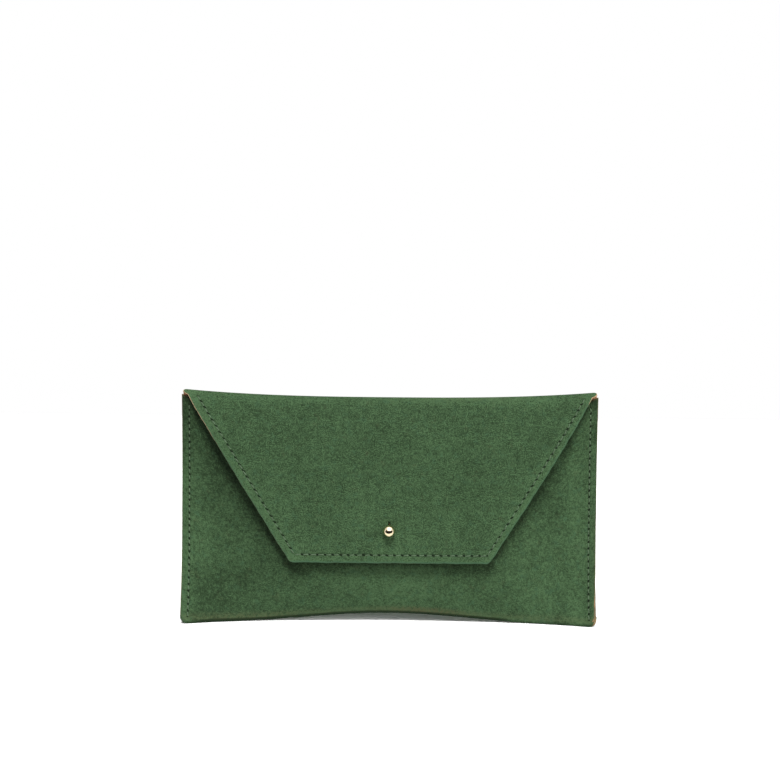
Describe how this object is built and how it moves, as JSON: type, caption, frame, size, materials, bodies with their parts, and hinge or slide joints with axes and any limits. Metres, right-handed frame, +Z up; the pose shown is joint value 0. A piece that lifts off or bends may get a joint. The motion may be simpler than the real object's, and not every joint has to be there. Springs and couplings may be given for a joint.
{
  "type": "card holder",
  "caption": "Soft suede envelope card holder: sewn side seams, folded bottom, and a tapered fold-over flap that buttons onto a small polished ball stud.",
  "frame": {"origin": "on the table, under the middle of the part's bounding box", "axes": "+X along the width, to the right in the picture; +Y out of the back panel, so the flap and the stud face -Y; +Z up, from the bottom fold to the top fold"},
  "size_m": [0.18, 0.0186, 0.0999],
  "materials": {
    "suede": "napped suede, dull",
    "lining_leather": "smooth natural leather, satin",
    "thread": "waxed thread, satin",
    "brass": "polished"
  },
  "bodies": {
    "pouch": {"back_panel": "suede", "front_panel": "suede", "card_divider": "lining_leather", "seam_thread_left": "thread", "seam_thread_right": "thread", "ball_stud": "brass", "stud_screw": "brass", "stud_backing": "lining_leather"},
    "flap": {"flap_panel": "suede", "flap_facing": "lining_leather", "flap_thread": "thread", "top_fold": "suede"}
  },
  "joints": [
    {"name": "flap_hinge", "type": "hinge", "parent": "pouch", "child": "flap", "pos_m": [0, 0.00624, 0.0986], "axis": [-1, 0, 0], "range_deg": [0, 175], "deforming": ["top_fold"]}
  ]
}
